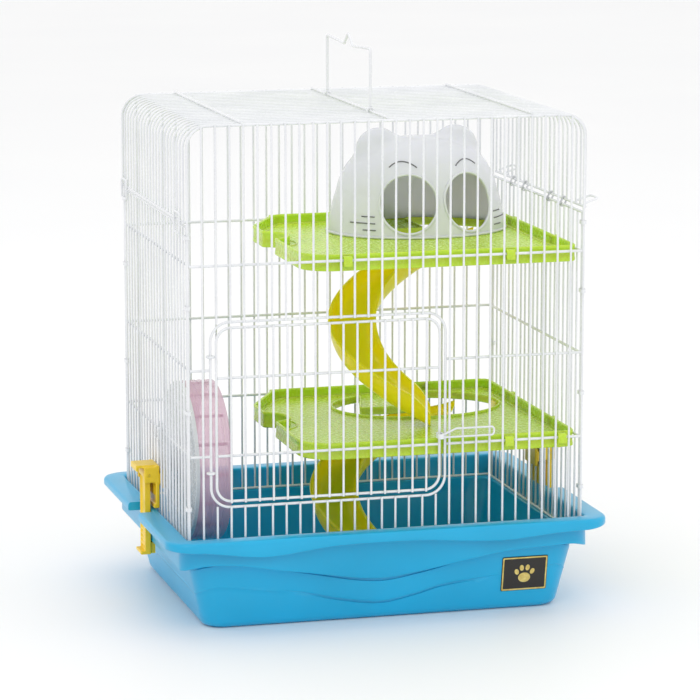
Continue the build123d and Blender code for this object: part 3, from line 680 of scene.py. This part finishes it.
def hook_tab(x, y, turn, z):
    """Hook over a cross wire, with a rounded nose."""
    wire = z + SHELF_DROP + FRAME_WIRE / 2 + 0.15
    section = [(-2.0, wire - 3.5), (0.3, wire - 3.5), (0.5, wire - 0.3), (1.0, wire), (3.6, wire),
               (3.9, wire - 0.4), (3.9, wire - 5.6), (4.4, wire - 6.2), (5.2, wire - 6.0),
               (5.7, wire - 5.2), (5.7, wire + 1.0), (5.2, wire + 1.9), (4.2, wire + 2.3),
               (-0.8, wire + 2.3), (-1.7, wire + 1.9), (-2.0, wire + 1.2)]
    c, s = cos(radians(turn)), sin(radians(turn))
    points = []
    for w, inset in ((-3.5, 0.35), (-3.1, 0.0), (3.1, 0.0), (3.5, 0.35)):
        middle = np.mean(section, axis=0)
        for out, height in section:
            out, height = out + (middle[0] - out) * inset * 0.2, height + (middle[1] - height) * inset * 0.2
            points.append((x + w * c - out * s, y + w * s + out * c, height))
    count = len(section)
    faces = grid_faces(4, count, False, True)
    faces += [list(range(count))[::-1], [3 * count + i for i in range(count)]]
    return np.array(points), faces


def shelf(name, level, front_gaps):
    z = level - SHELF_DROP
    floor = z + FLOOR_LIFT
    outline, hole = shelf_outline(), hole_outline()
    top = z + SHELF_HEIGHT
    wall = [(0.5, z), (0.1, z + 0.4), (0.0, z + 1.2), (0.5, z + 5.0), (0.5, top - 3.0), (0.1, top - 2.4),
            (0.0, top - 0.9), (0.4, top - 0.2), (1.1, top), (1.8, top - 0.2), (2.3, top - 0.9),
            (2.3, top - 2.2), (1.9, top - 3.0), (2.2, z + 5.0), (2.3, z + 1.0), (1.9, z + 0.3), (1.2, z)]
    collar = [(-1.9, floor - 2.4), (-1.9, floor + 3.2), (-1.6, floor + 3.8), (-1.0, floor + 4.0),
              (-0.3, floor + 3.8), (0.0, floor + 3.2), (0.0, floor - 2.4), (-0.9, floor - 3.0)]
    parts = [ribbon(outline, wall), ribbon(hole, collar)]
    inner = outline - outward(outline) * 1.4
    grown_hole = hole + outward(hole) * 0.9
    parts.append(plate(inner, [grown_hole], floor, floor + 2.0, 0.05))
    step = outline - outward(outline) * 6.5
    bead = ((0.0, 1.8), (0.25, 2.5), (0.8, 2.8), (1.35, 2.5), (1.6, 1.8))
    parts.append(ribbon(step, [(inset, floor + rise) for inset, rise in bead]))
    parts += shelf_ribs(z)
    for gap in front_gaps:
        parts.append(hook_tab(-HALF_X + PITCH * (gap + 0.5), -SHELF_Y, 180, z))
    for gap in (11, 23):
        parts.append(hook_tab(-HALF_X + PITCH * (gap + 0.5), SHELF_Y, 0, z))
    for gap in (5, 15):
        parts.append(hook_tab(SHELF_X[1], -SIDE_END + 2 * SIDE_END * (gap + 0.5) / SIDE_GAPS, -90, z))
    points, faces = merged(parts)
    obj = make_mesh(name + "_moulding", points, faces)
    finish_piece(obj, GREEN, "cage", "green_plastic", name)


# ---- slides -------------------------------------------------------------
SLIDE_CENTRE = (88.0, 26.0)
SLIDE_R = (76.0, 62.0)
SLIDE_HALF = 19.0
SLIDE_WALL = 1.8
SLIDE_DEPTH = 20.0
SLIDE_START_DEPTH = 6.0
SLIDE_RAMP = 0.25
SLIDE_TURN = (57.0, 250.0)
SLIDE_STATIONS = 96
UPPER_SLIDE = (140.9, 138.0, 0.0)
LOWER_SLIDE = (2.4, 124.2, -16.0)
ROUNDNESS = 2 / 2.7


def chute_section(depth, inset):
    """Closed U section: outer skin, rolled lips and inner skin, as (across, up) points."""
    def skin(half, low, count, reverse):
        angles = np.linspace(pi, 2 * pi, count)
        c, s = np.cos(angles), np.sin(angles)
        across = half * np.sign(c) * np.abs(c) ** ROUNDNESS
        up = depth - (depth - low) * np.abs(s) ** ROUNDNESS
        points = np.column_stack([across, up])
        return points[::-1] if reverse else points
    outer = skin(SLIDE_HALF - inset, inset, 30, False)
    inner = skin(SLIDE_HALF - SLIDE_WALL + inset * 0.3, SLIDE_WALL, 30, True)
    h = SLIDE_HALF - inset
    lip = [(h + 1.1, depth + 0.3), (h + 1.5, depth + 1.1), (h + 1.0, depth + 1.9), (h - 0.3, depth + 2.2),
           (h - SLIDE_WALL, depth + 1.7)]
    other = [(-x, y) for x, y in lip][::-1]
    return np.vstack([outer, lip, inner, other])


def chute(foot_z, fall, shift):
    rows = []
    for i in range(SLIDE_STATIONS):
        part = i / (SLIDE_STATIONS - 1)
        t = radians(SLIDE_TURN[0] + part * (SLIDE_TURN[1] - SLIDE_TURN[0]))
        ramp = np.clip(part / SLIDE_RAMP, 0, 1)
        depth = SLIDE_START_DEPTH + (SLIDE_DEPTH - SLIDE_START_DEPTH) * ramp * ramp * (3 - 2 * ramp)
        end_gap = min(part, 1 - part) * 60
        inset = max(0.0, 0.5 - end_gap)
        if part > 0.93:
            depth -= 9.0 * ((part - 0.93) / 0.07) ** 2
        section = chute_section(depth, inset)
        place_x = SLIDE_CENTRE[0] + shift + SLIDE_R[0] * cos(t)
        place = np.array([place_x, SLIDE_CENTRE[1] + SLIDE_R[1] * sin(t)])
        along = np.array([-SLIDE_R[0] * sin(t), SLIDE_R[1] * cos(t)])
        along /= np.linalg.norm(along)
        outside = np.array([along[1], -along[0]])
        z = foot_z + fall * (1 - part)
        flat = place + section[:, :1] * outside
        rows.append(np.column_stack([flat, z + section[:, 1]]))
    count = len(rows[0])
    faces = grid_faces(len(rows), count, False, True)
    faces += end_caps(count, 0) + end_caps(count, (len(rows) - 1) * count)
    return np.concatenate(rows), faces


def end_caps(count, start):
    """Close a U section with a strip of quads between its outer and inner skins."""
    skin = 30
    lip = (count - 2 * skin) // 2
    outer = [start + i for i in range(skin)]
    inner = [start + skin + lip + i for i in range(skin)][::-1]
    right_lip = [start + skin + i for i in range(lip)]
    left_lip = [start + 2 * skin + lip + i for i in range(lip)]
    faces = [(outer[i], outer[i + 1], inner[i + 1], inner[i]) for i in range(skin - 1)]
    faces.append([outer[-1]] + right_lip + [inner[-1]])
    faces.append([inner[0]] + left_lip + [outer[0]])
    return faces


def slide(name, foot_z, fall, shift, shelf_z):
    chute_obj = make_mesh(name + "_chute", *chute(foot_z, fall, shift), 40.0)
    deck_z = foot_z + fall
    edge = HOLE_CENTRE[0] + HOLE_HALF[0] - 0.8
    start = SLIDE_CENTRE[0] + shift + 30
    deck = rounded([(start, 44.0), (edge, 44.0), (edge, 66.0), (start, 66.0)], [5, 0.5, 0.5, 5])
    riser = rounded([(edge - 1.8, 45.5), (edge, 45.5), (edge, 58.5), (edge - 1.8, 58.5)], [0.4] * 4)
    points, faces = merged([plate(deck, [], deck_z, deck_z + 1.8), plate(riser, [], deck_z + 0.2, shelf_z)])
    landing = make_mesh(name + "_landing", points, faces)
    finish_piece(chute_obj, YELLOW, "cage", "yellow_slide", name)
    finish_piece(landing, YELLOW, "cage", "yellow_slide")


# ---- house --------------------------------------------------------------
HOUSE_BASE = LEVELS[2] - SHELF_DROP + FLOOR_LIFT + 2.0
HOUSE_TURN = 5.0
HOUSE_WIDTH = 78.0
HOUSE_HEIGHT = 79.5
HOUSE_FLATTEN = 0.79
HOUSE_WALL = 1.8
EAR = (35.5, 70.5)
EAR_R = np.array([19.0, 13.0, 17.0])
EAR_TILT = 12.0
BLEND = 9.0
PORTHOLE = (27.5, 28.5, 24.0, 16.0)
AXIS_Z = 36.0
BROW = (28.0, 63.0)
WHISKERS = ((18.0, 53.5, 62.0), (12.5, 53.5, 69.0), (7.0, 53.5, 62.0))


def house_field(p):
    """Below zero inside the cat's head, above zero outside; local millimetres."""
    x, y, z = p[..., 0], p[..., 1] / HOUSE_FLATTEN, p[..., 2]
    width = HOUSE_WIDTH - 6.0 * np.clip(z / 35.0, 0, 1)
    rim = np.hypot(x, y) / width
    head = (rim ** 2.4 + np.clip(z / HOUSE_HEIGHT, 0, None) ** 3.2 - 1) * HOUSE_WIDTH / 2.6
    field = head
    for side in (-1, 1):
        c, s = cos(radians(side * EAR_TILT)), sin(radians(side * EAR_TILT))
        dx, dz = p[..., 0] - side * EAR[0], z - EAR[1]
        local = np.stack([dx * c - dz * s, p[..., 1], dx * s + dz * c], -1) / EAR_R
        ear = (np.linalg.norm(local, axis=-1) - 1) * EAR_R.mean()
        h = np.clip(0.5 + 0.5 * (ear - field) / BLEND, 0, 1)
        field = ear * (1 - h) + field * h - BLEND * h * (1 - h)
    return field


def reach_skin(origin, direction, far=130.0):
    """Where rays from inside first leave the head, found by halving."""
    near_t = np.zeros(origin.shape[:-1])
    far_t = np.full(origin.shape[:-1], far)
    for _ in range(40):
        middle = (near_t + far_t) / 2
        inside = house_field(origin + direction * middle[..., None]) < 0
        near_t = np.where(inside, middle, near_t)
        far_t = np.where(inside, far_t, middle)
    return origin + direction * near_t[..., None]


def porthole_frame(side):
    """Centre, sideways, upward and outward directions of one doorway, local."""
    x, z, _, turn = PORTHOLE
    c, s = cos(radians(side * turn)), sin(radians(side * turn))
    out = np.array([s, -c, 0.0])
    across = np.array([c, s, 0.0])
    front = -HOUSE_FLATTEN * 75.5 + 6
    return np.array([side * x, front, z]) - out * 24, across, np.array([0.0, 0, 1]), out


def on_skin(origin, across, up, out, u, v):
    start = origin + np.outer(u, across) + np.outer(v, up)
    return reach_skin(start, np.broadcast_to(out, start.shape))


def head_grid():
    turns, low_rows, high_rows = 300, 26, 56
    angles = np.arange(turns) * 2 * pi / turns
    around = np.column_stack([np.cos(angles), np.sin(angles), np.zeros(turns)])
    rows = []
    for z in np.linspace(0, AXIS_Z, low_rows, endpoint=False):
        rows.append(reach_skin(np.broadcast_to([0, 0, z], around.shape), around))
    for tilt in np.linspace(0, pi / 2, high_rows, endpoint=False):
        direction = around * cos(tilt) + np.array([0, 0, sin(tilt)])
        rows.append(reach_skin(np.broadcast_to([0, 0, AXIS_Z], around.shape), direction))
    tip = reach_skin(np.array([[0, 0, AXIS_Z]]), np.array([[0, 0, 1.0]]))
    points = np.concatenate(rows + [tip])
    faces = grid_faces(len(rows), turns, False, True)
    start = (len(rows) - 1) * turns
    faces += [(start + i, start + (i + 1) % turns, len(points) - 1) for i in range(turns)]
    return points, faces


def cut_porthole(points, faces, side):
    """Open one doorway: drop the skin inside it and snap its edge to the circle."""
    origin, across, up, out = porthole_frame(side)
    radius = PORTHOLE[2]
    local = points - origin
    u, v, w = local @ across, local @ up, local @ out
    inside = (np.hypot(u, v) < radius) & (w > 0)
    kept = [f for f in faces if not all(inside[i] for i in f)]
    used = np.zeros(len(points), bool)
    used[[i for f in kept for i in f]] = True
    edge = np.nonzero(inside & used)[0]
    scale = radius / np.hypot(u[edge], v[edge])
    points[edge] = on_skin(origin, across, up, out, u[edge] * scale, v[edge] * scale)
    return points, kept


def compact(points, faces):
    """Drop points that no face uses."""
    used = sorted({i for face in faces for i in face})
    index = {old: new for new, old in enumerate(used)}
    return points[used], [[index[i] for i in face] for face in faces]


def placed(points):
    c, s = cos(radians(HOUSE_TURN)), sin(radians(HOUSE_TURN))
    turned = np.asarray(points) @ np.array([[c, s, 0], [-s, c, 0], [0, 0, 1]])
    return turned + [HOLE_CENTRE[0], HOLE_CENTRE[1], HOUSE_BASE]


def house():
    points, faces = head_grid()
    beads = []
    for side in (-1, 1):
        points, faces = cut_porthole(points, faces, side)
        angles = np.arange(120) * 2 * pi / 120
        origin, across, up, out = porthole_frame(side)
        radius = PORTHOLE[2] + 0.4
        ring = on_skin(origin, across, up, out, radius * np.cos(angles), radius * np.sin(angles))
        beads.append(tube(placed(ring), 1.25, True))
    points, faces = compact(points, faces)
    shell = make_mesh("house_head", placed(points), faces, 60.0)
    thick = shell.modifiers.new("wall", "SOLIDIFY")
    thick.thickness = HOUSE_WALL * MM
    thick.offset = -1.0
    thick.use_even_offset = False
    finish_piece(shell, PALE, "cage", "house_plastic", "house")
    angles = np.arange(220) * 2 * pi / 220
    around = np.column_stack([np.cos(angles), np.sin(angles), np.zeros(220)])
    foot = reach_skin(np.broadcast_to([0, 0, 1.2], around.shape), around)
    beads.append(tube(placed(foot), 1.15, True))
    edges = make_mesh("house_edge_beads", *merged(beads))
    finish_piece(edges, PALE, "cage", "house_plastic")


def stroke(x, z):
    """Bead that lies on the front of the head along the given places."""
    start = np.column_stack([x, np.full(len(x), -10.0), z])
    skin = reach_skin(start, np.broadcast_to([0.0, -1.0, 0.0], start.shape))
    return placed(skin - [0, 0.15, 0])


def house_face():
    strokes = []
    for side in (-1, 1):
        t = np.linspace(-1, 1, 24)
        strokes.append(tube(stroke(side * BROW[0] + 10.5 * t, BROW[1] - 4.6 * t ** 2), 0.55))
        for z, near, far in WHISKERS:
            x = side * np.linspace(near, far, 16)
            strokes.append(tube(stroke(x, np.full(16, z)), 0.5))
    obj = make_mesh("house_brows_and_whiskers", *merged(strokes))
    finish_piece(obj, INK, "cage", "trim_grey", "house_trim")


# ---- wheel --------------------------------------------------------------
WHEEL_CENTRE = (-4.0, 116.5)
WHEEL_R = 66.0
DISC_X = -145.5
TRACK_X = -116.0
RUNGS = 16


def ribbed_disc():
    """Side disc: rolled rim, two raised rings, hub boss with a step, open bore."""
    x = DISC_X
    profile = [(x - 8, 3.4), (x - 8, 7.2), (x - 7.4, 7.9), (x - 2.6, 8.3), (x - 2.0, 9.5),
               (x - 2.0, 29.0), (x - 1.6, 30.0), (x - 0.3, 30.8), (x, 32.0), (x, 44.5), (x - 0.8, 45.3),
               (x - 0.8, 47.0), (x, 47.8), (x, 62.6), (x - 0.9, 63.6), (x - 1.2, 65.0), (x - 0.6, 65.9),
               (x + 0.6, 66.0), (x + 2.2, 66.0), (x + 2.2, 47.0), (x + 1.5, 46.0), (x + 2.2, 45.0),
               (x + 2.2, 10.0), (x + 2.2, 3.4)]
    return lathe(profile, WHEEL_CENTRE)


def disc_ribs():
    """Low radial ribs on the outer face of the disc."""
    parts = []
    for i in range(12):
        a = 2 * pi * (i + 0.5) / 12
        direction = np.array([0, cos(a), sin(a)])
        sideways = np.array([0, -sin(a), cos(a)])
        rows = []
        for r, height in ((31.0, 0.0), (33.0, 0.9), (43.5, 0.9), (45.0, 0.0)):
            for w, lift in ((-1.0, -0.3), (-0.6, height), (0.6, height), (1.0, -0.3)):
                rows.append([DISC_X - lift, *WHEEL_CENTRE] + direction * r + sideways * w)
        faces = grid_faces(4, 4) + [(0, 1, 2, 3), (12, 13, 14, 15), (0, 4, 8, 12)[::-1], (3, 7, 11, 15)]
        faces[-2] = (0, 3, 15, 12)
        faces[-1] = None
        parts.append((np.array(rows), [f for f in faces if f]))
    return parts


def wheel():
    disc = make_mesh("wheel_side_disc", *merged([ribbed_disc()] + disc_ribs()))
    finish_piece(disc, DISC, "wheel", "wheel_white", "wheel_disc")
    inner, outer = WHEEL_R - 1.9, WHEEL_R - 0.3
    start, end = DISC_X + 2.0, TRACK_X
    profile = [(start, inner), (start, outer)]
    for x in np.linspace(start + 4, end - 6, 5):
        profile += [(x - 0.7, outer), (x - 0.35, outer + 0.3), (x + 0.35, outer + 0.3), (x + 0.7, outer)]
    profile += [(end - 2.6, outer), (end - 2.0, WHEEL_R), (end - 0.5, WHEEL_R), (end, WHEEL_R - 0.6),
                (end, WHEEL_R - 4.4), (end - 0.5, WHEEL_R - 5.0), (end - 2.0, WHEEL_R - 5.0),
                (end - 2.6, WHEEL_R - 4.2), (end - 2.8, inner)]
    track = make_mesh("wheel_running_track", *lathe(profile, WHEEL_CENTRE, 128))
    finish_piece(track, PINK, "wheel", "wheel_pink", "wheel_track")
    rungs = []
    for i in range(RUNGS):
        a = 2 * pi * i / RUNGS
        direction = np.array([0, cos(a), sin(a)])
        for radius, half in ((inner - 0.3, 1.3),):
            stops = np.linspace(start + 0.6, end - 3.4, 6)
            path = [np.array([x, *WHEEL_CENTRE]) + direction * radius for x in stops]
            rungs.append(tube(path, half))
    obj = make_mesh("wheel_rungs", *merged(rungs))
    finish_piece(obj, RUNG, "wheel", "wheel_pink", "wheel_treads")
    cap_x = DISC_X + 2.5
    cap_rings = ((0.0, 3.1), (0.0, 6.4), (0.5, 7.0), (1.6, 7.0), (2.4, 6.2), (2.4, 3.1))
    cap_profile = [(cap_x + along, radius) for along, radius in cap_rings]
    cap = make_mesh("wheel_axle_cap", *lathe(cap_profile, WHEEL_CENTRE, 48))
    finish_piece(cap, DISC, "cage", "wheel_white", "wheel_cap")


def wheel_bracket():
    low, high = (np.array(corner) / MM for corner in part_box("wheel_bracket"))
    inner = -HALF_X + CROSS + FRAME_WIRE / 2 + 0.85
    wire_top = LEVELS[0] + FRAME_WIRE / 2 + 0.15
    y, z = WHEEL_CENTRE
    parts = [block((inner, inner + 3), (y - 20, y + 20), (z - 20, wire_top + 2))]
    for index in (-1, 0):
        hook = 2 * SIDE_END / SIDE_GAPS * index
        parts.append(block((low[0], inner + 3), (hook - 3, hook + 3), (wire_top, high[2])))
        parts.append(block((low[0], low[0] + 2), (hook - 3, hook + 3), (wire_top - 8, high[2])))
    for rib in (-14, 14):
        parts.append(block((inner + 2.5, inner + 4.2), (y + rib - 1, y + rib + 1), (z - 18, wire_top)))
    parts.append(lathe([(inner, 0.5), (inner, 7), (inner + 5, 7), (inner + 5, 0.5)], WHEEL_CENTRE, 48))
    obj = fused(make_mesh("wheel_hanger", *merged(parts)), 0.6)
    finish_piece(obj, DISC, "cage", "wheel_white", "wheel_bracket")


# ---- tray latches -------------------------------------------------------
LATCH_PIVOT = (173.6, 107.0)
LATCH_HALF = 10.0


def to_side(parts, side):
    placed_parts = []
    for points, faces in parts:
        turned = faces if side > 0 else [face[::-1] for face in faces]
        placed_parts.append((points * [side, 1, 1], turned))
    return placed_parts


def pin_turned(radius, half_length, steps=28):
    """Solid round bar along Y at the latch pivot."""
    x, z = LATCH_PIVOT
    angles = np.arange(steps) * 2 * pi / steps
    ring = np.column_stack([x + radius * np.cos(angles), np.zeros(steps), z + radius * np.sin(angles)])
    points = np.vstack([ring + [0, -half_length, 0], ring + [0, half_length, 0]])
    faces = grid_faces(2, steps, False, True) + [list(range(steps)), [steps + i for i in range(steps)][::-1]]
    return points, faces


def latch_clip(side):
    x, z = LATCH_PIVOT
    outer = HALF_X + BAR / 2 + 0.2
    half = LATCH_HALF
    parts = [block((outer, outer + 3), (-half - 4, half + 4), (RIM_Z + 1.5, z + 8)),
             block((outer, x + 10.2), (-half - 1, half + 1), (z + 6, z + 8.4)),
             block((x + 8.4, x + 10.4), (-half - 1, half + 1), (z + 3.4, z + 8.4)),
             block((outer, outer + 4.6), (-half - 4, half + 4), (RIM_Z + 1.5, RIM_Z + 5))]
    for y in (-1, 1):
        parts.append(block((outer, x + 4), sorted((y * (half + 1), y * (half + 4))), (z - 6, z + 7)))
    step = 2 * SIDE_END / SIDE_GAPS
    for y in (0, step, -step):
        parts.append(block((HALF_X - 3.6, outer + 0.5), (y - 2.5, y + 2.5), (z - 7, z + 1)))
    parts.append(block((HALF_X - 3.6, HALF_X - BAR / 2 - 0.3), (-14, 14), (z - 11, z + 4)))
    for y in (-7, 0, 7):
        parts.append(block((outer + 2.5, outer + 4.0), (y - 0.8, y + 0.8), (z - 17, z - 5)))
    word = "left" if side < 0 else "right"
    obj = fused(make_mesh("latch_clip_" + word + "_body", *merged(to_side(parts, side))), 0.55)
    finish_piece(obj, LATCH_YELLOW, "cage", "yellow_plastic", "latch_clip_" + word)


STRAP_X = (171.9, 175.4)


def latch_lever(side):
    z = LATCH_PIVOT[1]
    half = LATCH_HALF
    strap = STRAP_X
    foot = BAND_Z - 10.5
    parts = [pin_turned(4.0, half), block(strap, (-half, half), (foot, z)),
             block((TRAY_BODY[0] + 6.4, strap[1]), (-half + 3, half - 3), (foot, BAND_Z - 0.9)),
             block((strap[0], strap[1] + 5), (-half, half), (foot, foot + 2.5))]
    for y in (-half + 0.9, half - 0.9):
        parts.append(block((strap[1] - 0.5, strap[1] + 1.2), (y - 0.9, y + 0.9), (foot, z - 4)))
    for grip in range(4):
        low = foot + 6 + 4 * grip
        parts.append(block((strap[1] - 0.5, strap[1] + 0.9), (-half + 2.6, half - 2.6), (low, low + 1.6)))
    word = "left" if side < 0 else "right"
    obj = fused(make_mesh("latch_lever_" + word + "_body", *merged(to_side(parts, side))), 0.5)
    finish_piece(obj, LATCH_YELLOW, word + "_latch", "yellow_plastic", "latch_lever_" + word)


# ---- wires --------------------------------------------------------------
WIRE_NODES = ("front_panel", "back_panel", "left_panel", "right_panel", "lid", "lid_loops", "carry_handle",
              "front_door", "door_latch", "corner_clips")
STEEL_NODES = ("lid_hinge_rings", "latch_pin_left", "latch_pin_right", "wheel_axle")


def coat(names, material):
    for name in names:
        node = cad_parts[name]
        node.data.materials.clear()
        node.data.materials.append(material)


# ---- studio -------------------------------------------------------------
def studio():
    scene = bpy.context.scene
    world = bpy.data.worlds.new("studio")
    scene.world = world
    world.use_nodes = True
    world.node_tree.nodes["Background"].inputs["Color"].default_value = (1.0, 1.0, 1.0, 1.0)
    world.node_tree.nodes["Background"].inputs["Strength"].default_value = 1.0
    far = 15000
    corners = [(-far, -far, 0), (far, -far, 0), (far, far, 0), (-far, far, 0)]
    floor = make_mesh("studio_floor", corners, [(0, 1, 2, 3)])
    floor.data.materials.append(floor_finish())
    lamps = [("key", (-1.3, -2.2, 2.4), 1.6, 9.0), ("fill", (2.2, -1.6, 1.6), 1.8, 4.0)]
    lamps.append(("top", (0.2, 0.6, 2.6), 2.2, 7.0))
    for name, place, size, power in lamps:
        light = bpy.data.lights.new(name, "AREA")
        light.size = size
        light.energy = power
        lamp = bpy.data.objects.new(name, light)
        scene.collection.objects.link(lamp)
        lamp.location = place
        aim = Vector((0, 0, 0.2)) - Vector(place)
        lamp.rotation_euler = aim.to_track_quat("-Z", "Y").to_euler()
    scene.view_settings.view_transform = "Standard"


def camera():
    data = bpy.data.cameras.new("camera")
    data.sensor_width = 36.0
    data.lens = 175.9
    obj = bpy.data.objects.new("camera", data)
    bpy.context.scene.collection.objects.link(obj)
    obj.location = (-0.7413, -2.7073, 0.7106)
    obj.rotation_euler = (radians(79.72), 0, radians(-15.34))
    bpy.context.scene.camera = obj


studio()
camera()
tray()
badge()
shelf("lower_shelf", LEVELS[0], (23, 27))
shelf("upper_shelf", LEVELS[2], (11, 23))
slide("lower_slide", *LOWER_SLIDE, LEVELS[0] - SHELF_DROP + FLOOR_LIFT + 2)
slide("upper_slide", *UPPER_SLIDE, LEVELS[2] - SHELF_DROP + FLOOR_LIFT + 2)
house()
house_face()
wheel()
wheel_bracket()
for direction in (-1, 1):
    latch_clip(direction)
    latch_lever(direction)
coat(WIRE_NODES, ENAMEL)
coat(STEEL_NODES, STEEL)
